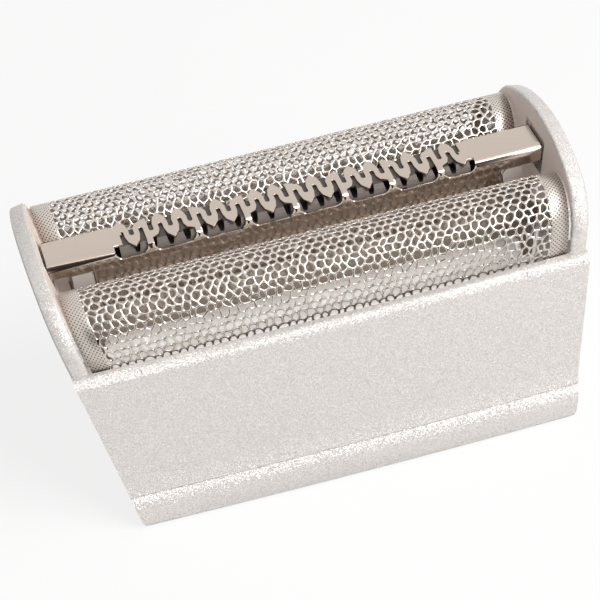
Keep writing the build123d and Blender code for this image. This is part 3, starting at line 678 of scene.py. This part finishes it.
def wound_coil(sizes, middle, bottom, top):
    """One coil spring as a bmesh: round wire wound up round its middle, with closed ends."""
    steps = sizes.turns * STEPS_PER_TURN
    bm = bmesh.new()
    start = Matrix.Translation(middle + ALONG * sizes.radius + UP * (bottom + sizes.wire / 2))
    upright = Matrix.Rotation(math.pi / 2, 4, "X")
    bmesh.ops.create_circle(bm, segments=WIRE_SIDES, radius=sizes.wire / 2, matrix=start @ upright)
    bmesh.ops.spin(
        bm, geom=everything(bm), cent=middle, axis=UP, angle=math.tau * sizes.turns, steps=steps,
        dvec=UP * (top - bottom - sizes.wire) / steps)
    bmesh.ops.holes_fill(bm, edges=[e for e in bm.edges if e.is_boundary])
    bmesh.ops.recalc_face_normals(bm, faces=bm.faces[:])
    for face in bm.faces:
        face.smooth = len(face.verts) == 4
    return bm


class FOILHEAD_OT_springs(bpy.types.Operator):
    """Wind the two coil springs from round wire and finish the leaf springs"""

    bl_idname = "foil_head.springs"
    bl_label = "Springs"

    def execute(self, context):
        sizes = context.scene.foil_head_springs
        steel = satin_steel("drawn_spring_steel", sizes.spring_steel, roughness=0.3)
        for node, side in (("float_spring_left", -1), ("float_spring_right", 1)):
            low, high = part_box(node)
            middle = ALONG * side * sizes.place
            bm = wound_coil(sizes, middle, low.z, high.z)
            name = node.replace("float_spring", "coil")
            coil = add_piece(name, bm, "frame", [steel], [node])
            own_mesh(coil)
        for node in ("blade_spring_left", "blade_spring_right"):
            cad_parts[node].data.materials[0] = steel
        return {"FINISHED"}


def white_paper(light):
    """White paper lit from above and through from below, with the soft shadow of the head left on it."""
    material, shader, tree = new_material("white_paper", light.paper, metallic=0.0, roughness=0.9)
    rays = add_node(tree, "ShaderNodeLightPath")
    level = add_node(
        tree, "ShaderNodeMath", {0: rays.outputs["Is Diffuse Ray"], 1: light.world_level - 1.0, 2: 1.0},
        operation="MULTIPLY_ADD")
    glow = add_node(
        tree, "ShaderNodeEmission", {"Color": WHITE, "Strength": level.outputs["Value"]})
    mixed = add_node(
        tree, "ShaderNodeMixShader",
        {"Fac": light.paper_glow, 1: shader.outputs["BSDF"], 2: glow.outputs["Emission"]})
    tree.links.new(mixed.outputs["Shader"], tree.nodes["Material Output"].inputs["Surface"])
    return material


def unlit_wall(light):
    """Dull dark end of the room, which gives the metal its dark reflections."""
    return new_material("unlit_wall", light.dark_wall, metallic=0.0, roughness=1.0)[0]


def light_room(light):
    """An even room: white to the eye and in the metal, softer as a light."""
    world = bpy.data.worlds.new("white_room")
    world.use_nodes = True
    tree = world.node_tree
    rays = add_node(tree, "ShaderNodeLightPath")
    mirrored = add_node(
        tree, "ShaderNodeMath", {0: rays.outputs["Is Camera Ray"], 1: rays.outputs["Is Glossy Ray"]},
        operation="MAXIMUM")
    seen = add_node(
        tree, "ShaderNodeMath", {0: mirrored.outputs["Value"], 1: rays.outputs["Is Transmission Ray"]},
        operation="MAXIMUM")
    level = add_node(
        tree, "ShaderNodeMath", {0: seen.outputs["Value"], 1: 1.0 - light.world_level, 2: light.world_level},
        operation="MULTIPLY_ADD")
    room = tree.nodes["Background"]
    room.inputs["Color"].default_value = WHITE
    tree.links.new(level.outputs["Value"], room.inputs["Strength"])
    bpy.context.scene.world = world


def soft_lamp(name, power, size, place, target, mirrored):
    """An oblong soft lamp that faces the target, and shows in the metal or not."""
    data = bpy.data.lights.new(name, "AREA")
    data.energy = power
    data.shape = "RECTANGLE"
    data.size, data.size_y = size
    lamp = bpy.data.objects.new(name, data)
    facing = (target - place).to_track_quat("-Z", "Y")
    lamp.matrix_world = Matrix.Translation(place) @ facing.to_matrix().to_4x4()
    lamp.visible_glossy = mirrored
    bpy.context.scene.collection.objects.link(lamp)


def stage_sheet(name, material, size, placed):
    """A flat square of the studio."""
    bm = bmesh.new()
    bmesh.ops.create_grid(bm, x_segments=1, y_segments=1, size=size / 2, matrix=placed)
    mesh = bpy.data.meshes.new(name)
    bm.to_mesh(mesh)
    bm.free()
    mesh.materials.append(material)
    sheet = bpy.data.objects.new(name, mesh)
    bpy.context.scene.collection.objects.link(sheet)
    return sheet


def photo_camera():
    """Camera at the photograph's view: left of the middle, looking down, with a slight roll."""
    back = Vector((
        -math.sin(AZIMUTH) * math.cos(ELEVATION),
        -math.cos(AZIMUTH) * math.cos(ELEVATION),
        math.sin(ELEVATION)))
    right = Vector((math.cos(AZIMUTH), -math.sin(AZIMUTH), 0.0))
    above = back.cross(right)
    aim = UP * AIM_HEIGHT + right * AIM_RIGHT + above * AIM_ABOVE
    place = (aim + back * DISTANCE) * MM
    data = bpy.data.cameras.new("photo_camera")
    data.sensor_width = SENSOR_WIDTH
    data.lens = FOCAL_PIXELS / PHOTO_PIXELS * data.sensor_width
    data.clip_start = 1.0 * MM
    camera = bpy.data.objects.new("photo_camera", data)
    turned = Matrix((right, above, back)).transposed() @ Matrix.Rotation(-ROLL, 3, "Z")
    camera.matrix_world = Matrix.Translation(place) @ turned.to_4x4()
    bpy.context.scene.collection.objects.link(camera)
    bpy.context.scene.camera = camera


class FOILHEAD_OT_studio(bpy.types.Operator):
    """Lay the white paper and set the dark wall, the lamps and the camera"""

    bl_idname = "foil_head.studio"
    bl_label = "Studio"

    def execute(self, context):
        light = context.scene.foil_head_studio
        below = Matrix.Translation(UP * (CAD_BOX[0][2] - FLOOR_GAP))
        stage_sheet("paper_floor", white_paper(light), FLOOR_SIZE, below)
        slanted = Matrix.Rotation(-AZIMUTH, 4, "Z") @ Matrix.Rotation(WALL_SLANT, 4, "X")
        behind = slanted @ Matrix.Translation(UP * WALL_DISTANCE)
        wall = stage_sheet("dark_wall", unlit_wall(light), WALL_SIZE, behind)
        wall.visible_camera = wall.visible_diffuse = wall.visible_shadow = False
        light_room(light)
        target = UP * AIM_HEIGHT * MM
        soft_lamp("overhead_softbox", light.key_power, KEY_SIZE, KEY_PLACE, target, True)
        soft_lamp("front_softbox", light.fill_power, FILL_SIZE, FILL_PLACE, target, False)
        photo_camera()
        context.scene.view_settings.view_transform = "Standard"
        return {"FINISHED"}


class FOILHEAD_PT_parts(bpy.types.Panel):
    """Sizes, colours and makers of the foil head's pieces"""

    bl_idname = "FOILHEAD_PT_parts"
    bl_label = "Foil head"
    bl_space_type = "VIEW_3D"
    bl_region_type = "UI"
    bl_category = "Foil head"

    def draw(self, context):
        for operator, sizes in GROUPS:
            box = self.layout.box()
            box.operator(operator.bl_idname)
            settings = getattr(context.scene, sizes)
            for name in type(settings).__annotations__:
                box.prop(settings, name)


GROUPS = (
    (FOILHEAD_OT_frame, "foil_head_frame"),
    (FOILHEAD_OT_foils, "foil_head_foils"),
    (FOILHEAD_OT_trimmer, "foil_head_trimmer"),
    (FOILHEAD_OT_springs, "foil_head_springs"),
    (FOILHEAD_OT_studio, "foil_head_studio"),
)
SETTINGS = {
    "foil_head_frame": FrameFinish,
    "foil_head_foils": FoilSizes,
    "foil_head_trimmer": TrimmerFinish,
    "foil_head_springs": SpringSizes,
    "foil_head_studio": StudioLight,
}


def register():
    for name, settings in SETTINGS.items():
        bpy.utils.register_class(settings)
        setattr(bpy.types.Scene, name, PointerProperty(type=settings))
    for operator, _ in GROUPS:
        bpy.utils.register_class(operator)
    bpy.utils.register_class(FOILHEAD_PT_parts)


def unregister():
    bpy.utils.unregister_class(FOILHEAD_PT_parts)
    for operator, _ in reversed(GROUPS):
        bpy.utils.unregister_class(operator)
    for name, settings in SETTINGS.items():
        delattr(bpy.types.Scene, name)
        bpy.utils.unregister_class(settings)


def main():
    register()
    bpy.ops.foil_head.frame()
    bpy.ops.foil_head.foils()
    bpy.ops.foil_head.trimmer()
    bpy.ops.foil_head.springs()
    bpy.ops.foil_head.studio()


if __name__ == "__main__":
    main()
